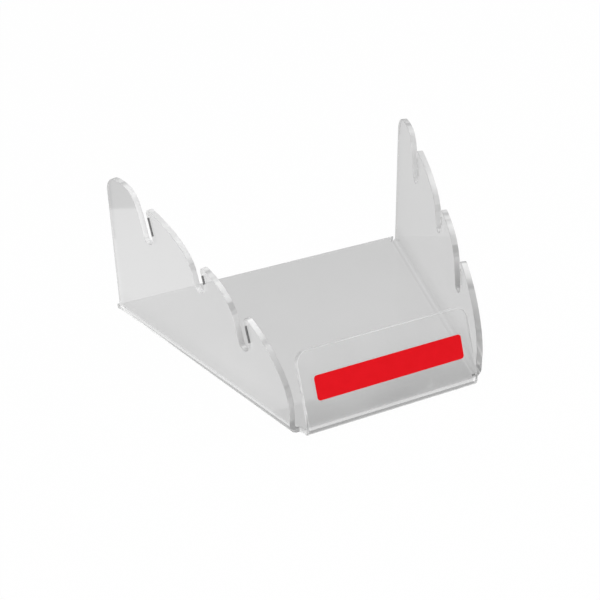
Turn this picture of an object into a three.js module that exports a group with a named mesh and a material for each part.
// Knife display stand, line-bent from one sheet of clear acrylic.
// Millimetres, +Z up, front at -Y, origin on the table under the middle of the stand.
//
// A trapezoid base carries two mirrored side walls, folded up along its slanted sides.
// Each wall steps down towards the front in humps with three leaning notches between them,
// so that three knives lie across the walls, one above the other.
// A label lip is folded up along the front edge and leans back over the base.
// Panels and bends are separate bodies that meet face to face along the ends of the bends.

import * as THREE from 'three';

// Sheet and bends
const SHEET = 3;
const BEND_INNER_RADIUS = 2.5;
const BEND_STEPS = 14;
const CURVE_STEPS = 16;

// Base panel: the fold lines run forward and inward from its rear edge
const DEPTH = 153;
const REAR_FOLD_WIDTH = 165.3;
const FOLD_ANGLE = THREE.MathUtils.degToRad(14);
const REAR_EAR = 3.4;

// Side walls, along the fold line from the rear edge of the base and up from the table
const WALL_HEIGHT = 82.5;
const WALL_REAR_SETBACK = 5.5;
const WALL_END = 149.5;
const WALL_END_STRAIGHT_TOP = 13;
const REAR_TOP_RADIUS = 9;

// Knife notches: width, lean towards the rear, and rounded hook in front of each
const NOTCH_WIDTH = 7.8;
const NOTCH_LEAN = THREE.MathUtils.degToRad(17);
const HOOK_TIP_RADIUS = 2;

// Each notch has the centre of its round floor, the straight length of its rear side,
// the height of the hook in front of it, and the hump that follows the hook:
// the slope on which the hump starts, and how far it holds its first and its last direction
const NOTCHES = [
  { along: 41, height: 60.5, rearSide: 6.9, hook: 12.2, slope: 12, holdStart: 13.5, holdEnd: 10.5 },
  { along: 83.2, height: 51.3, rearSide: 6.2, hook: 7, slope: 17, holdStart: 10.5, holdEnd: 11.5 },
  { along: 116.9, height: 34.9, rearSide: 9.8, hook: 10.9, slope: 23, holdStart: 15, holdEnd: 14 },
];

// The rear hump starts level at the top of the wall
const REAR_HUMP = { holdStart: 11, holdEnd: 16 };

// Label lip
const LIP_WIDTH = 90.4;
const LIP_HEIGHT = 34.5;
const LIP_LEAN = THREE.MathUtils.degToRad(22.5);
const LIP_CORNER_RADIUS = 6;

// Derived sizes
const BEND_OUTER_RADIUS = BEND_INNER_RADIUS + SHEET;
const REAR_Y = DEPTH / 2;
const FRONT_Y = -DEPTH / 2;
const HALF_REAR_FOLD = REAR_FOLD_WIDTH / 2;
const NOTCH_RADIUS = NOTCH_WIDTH / 2;
const QUARTER_TURN = Math.PI / 2;
const AXIS_X = new THREE.Vector3(1, 0, 0);
const AXIS_Y = new THREE.Vector3(0, 1, 0);
const AXIS_Z = new THREE.Vector3(0, 0, 1);

const stand = new THREE.Group();

// Clear cast acrylic: colourless, glossy, and grey only where the room shows in it
function clearAcrylic(tint) {
  return new THREE.MeshStandardMaterial({
    color: new THREE.Color(tint, tint, tint),
    roughness: 0.05,
    metalness: 0,
    transparent: true,
    opacity: 0.35,
  });
}

// Sheet panel: a flat outline with the sheet's thickness
function panel(name, outline, tint) {
  const geometry = new THREE.ExtrudeGeometry(outline, {
    depth: SHEET,
    bevelEnabled: false,
    curveSegments: CURVE_STEPS,
  });
  const mesh = new THREE.Mesh(geometry, clearAcrylic(tint));
  mesh.name = name;
  return mesh;
}

// Bend: a ring sector of the sheet, from flat to the bend's angle, as long as the fold
function bend(name, angle, length, tint) {
  const start = -QUARTER_TURN;
  const section = new THREE.Shape();
  section.absarc(0, BEND_OUTER_RADIUS, BEND_OUTER_RADIUS, start, start + angle, false);
  section.absarc(0, BEND_OUTER_RADIUS, BEND_INNER_RADIUS, start + angle, start, true);
  section.closePath();
  const geometry = new THREE.ExtrudeGeometry(section, {
    depth: length,
    bevelEnabled: false,
    curveSegments: BEND_STEPS,
  });
  const mesh = new THREE.Mesh(geometry, clearAcrylic(tint));
  mesh.name = name;
  return mesh;
}

// Turns a mesh so that its own X and Y point along the two given directions
function orient(mesh, alongX, alongY) {
  const alongZ = new THREE.Vector3().crossVectors(alongX, alongY);
  mesh.quaternion.setFromRotationMatrix(new THREE.Matrix4().makeBasis(alongX, alongY, alongZ));
  return mesh;
}

// Point on the right fold line, at a distance forward from the rear edge of the base
function foldPoint(distance) {
  const x = HALF_REAR_FOLD - Math.sin(FOLD_ANGLE) * distance;
  const y = REAR_Y - Math.cos(FOLD_ANGLE) * distance;
  return { x, y };
}

// Base panel: wide at the rear, narrow at the lip, with a relief corner at each end of a fold
function basePanel() {
  const rearEnd = foldPoint(WALL_REAR_SETBACK);
  const frontEnd = foldPoint(WALL_END);
  const lipFold = FRONT_Y + BEND_OUTER_RADIUS;
  const ear = HALF_REAR_FOLD + REAR_EAR;
  const outline = new THREE.Shape();
  outline.moveTo(-LIP_WIDTH / 2, lipFold);
  outline.lineTo(LIP_WIDTH / 2, lipFold);
  outline.lineTo(frontEnd.x, frontEnd.y);
  outline.lineTo(rearEnd.x, rearEnd.y);
  outline.lineTo(ear, REAR_Y);
  outline.lineTo(-ear, REAR_Y);
  outline.lineTo(-rearEnd.x, rearEnd.y);
  outline.lineTo(-frontEnd.x, frontEnd.y);
  outline.closePath();
  return panel('base_panel', outline, 0.8);
}

// Point near a notch: so far across it towards the front, and so far up its lean
function notchPoint(notch, across, up) {
  const x = notch.along + Math.cos(NOTCH_LEAN) * across - Math.sin(NOTCH_LEAN) * up;
  const y = notch.height + Math.sin(NOTCH_LEAN) * across + Math.cos(NOTCH_LEAN) * up;
  return { x, y };
}

// Hump between two notches: leaves the last direction and runs into the side of a notch
function humpInto(outline, first, notch, holdEnd) {
  const end = notchPoint(notch, -NOTCH_RADIUS, notch.rearSide);
  const last = notchPoint(notch, -NOTCH_RADIUS, notch.rearSide + holdEnd);
  outline.bezierCurveTo(first.x, first.y, last.x, last.y, end.x, end.y);
}

// Notch with its round floor, and the hook with its round tip in front of it.
// Returns the point towards which the next hump sets out.
function notchAndHook(outline, notch) {
  const foot = notchPoint(notch, -NOTCH_RADIUS, 0);
  const rearward = Math.PI + NOTCH_LEAN;
  outline.lineTo(foot.x, foot.y);
  outline.absarc(notch.along, notch.height, NOTCH_RADIUS, rearward, rearward + Math.PI, false);
  const tip = notchPoint(notch, NOTCH_RADIUS + HOOK_TIP_RADIUS, notch.hook);
  const slope = THREE.MathUtils.degToRad(notch.slope);
  outline.absarc(tip.x, tip.y, HOOK_TIP_RADIUS, rearward, QUARTER_TURN - slope, true);
  const crown = outline.currentPoint;
  const x = crown.x + Math.cos(slope) * notch.holdStart;
  const y = crown.y - Math.sin(slope) * notch.holdStart;
  return { x, y };
}

// Side wall in its own plane: X forward along the fold, Y up from the table
function wallOutline() {
  const rear = WALL_REAR_SETBACK;
  const shoulder = WALL_HEIGHT - REAR_TOP_RADIUS;
  const outline = new THREE.Shape();
  outline.moveTo(WALL_END, BEND_OUTER_RADIUS);
  outline.lineTo(rear, BEND_OUTER_RADIUS);
  outline.lineTo(rear, shoulder);
  outline.absarc(rear + REAR_TOP_RADIUS, shoulder, REAR_TOP_RADIUS, Math.PI, QUARTER_TURN, true);
  let first = { x: rear + REAR_TOP_RADIUS + REAR_HUMP.holdStart, y: WALL_HEIGHT };
  let holdEnd = REAR_HUMP.holdEnd;
  for (const notch of NOTCHES) {
    humpInto(outline, first, notch, holdEnd);
    first = notchAndHook(outline, notch);
    holdEnd = notch.holdEnd;
  }
  const brow = WALL_END_STRAIGHT_TOP + holdEnd;
  outline.bezierCurveTo(first.x, first.y, WALL_END, brow, WALL_END, WALL_END_STRAIGHT_TOP);
  outline.closePath();
  return outline;
}

// One folded side: a group whose X runs across the fold line and whose Y runs back along it
function foldedSide(side, word) {
  const fold = new THREE.Group();
  fold.position.set(side * HALF_REAR_FOLD, REAR_Y, 0);
  fold.rotation.z = -side * FOLD_ANGLE;
  const forward = AXIS_Y.clone().negate();
  const outward = AXIS_X.clone().multiplyScalar(side);

  const wall = orient(panel(`${word}_wall`, wallOutline(), 0.87), forward, AXIS_Z);
  wall.position.x = side > 0 ? BEND_OUTER_RADIUS : -BEND_INNER_RADIUS;

  const length = WALL_END - WALL_REAR_SETBACK;
  const strip = orient(bend(`${word}_bend`, QUARTER_TURN, length, 0.9), outward, AXIS_Z);
  strip.position.y = side > 0 ? -WALL_REAR_SETBACK : -WALL_END;

  fold.add(wall, strip);
  return fold;
}

// Front fold: the bend goes past upright, and the lip leans back from its end
function frontFold() {
  const fold = new THREE.Group();
  fold.position.set(0, FRONT_Y + BEND_OUTER_RADIUS, 0);
  const outward = AXIS_Y.clone().negate();

  const strip = orient(bend('front_bend', QUARTER_TURN + LIP_LEAN, LIP_WIDTH, 0.85), outward, AXIS_Z);
  strip.position.x = LIP_WIDTH / 2;

  const half = LIP_WIDTH / 2;
  const inset = half - LIP_CORNER_RADIUS;
  const shoulder = LIP_HEIGHT - LIP_CORNER_RADIUS;
  const outline = new THREE.Shape();
  outline.moveTo(-half, 0);
  outline.lineTo(half, 0);
  outline.absarc(inset, shoulder, LIP_CORNER_RADIUS, 0, QUARTER_TURN, false);
  outline.absarc(-inset, shoulder, LIP_CORNER_RADIUS, QUARTER_TURN, Math.PI, false);
  outline.closePath();
  const upSlope = new THREE.Vector3(0, Math.sin(LIP_LEAN), Math.cos(LIP_LEAN));
  const lip = orient(panel('front_lip', outline, 0.78), AXIS_X, upSlope);
  lip.position.y = -Math.cos(LIP_LEAN) * BEND_INNER_RADIUS;
  lip.position.z = BEND_OUTER_RADIUS + Math.sin(LIP_LEAN) * BEND_INNER_RADIUS;

  fold.add(strip, lip);
  return fold;
}

stand.add(basePanel());
stand.add(foldedSide(-1, 'left'));
stand.add(foldedSide(1, 'right'));
stand.add(frontFold());

export default stand;
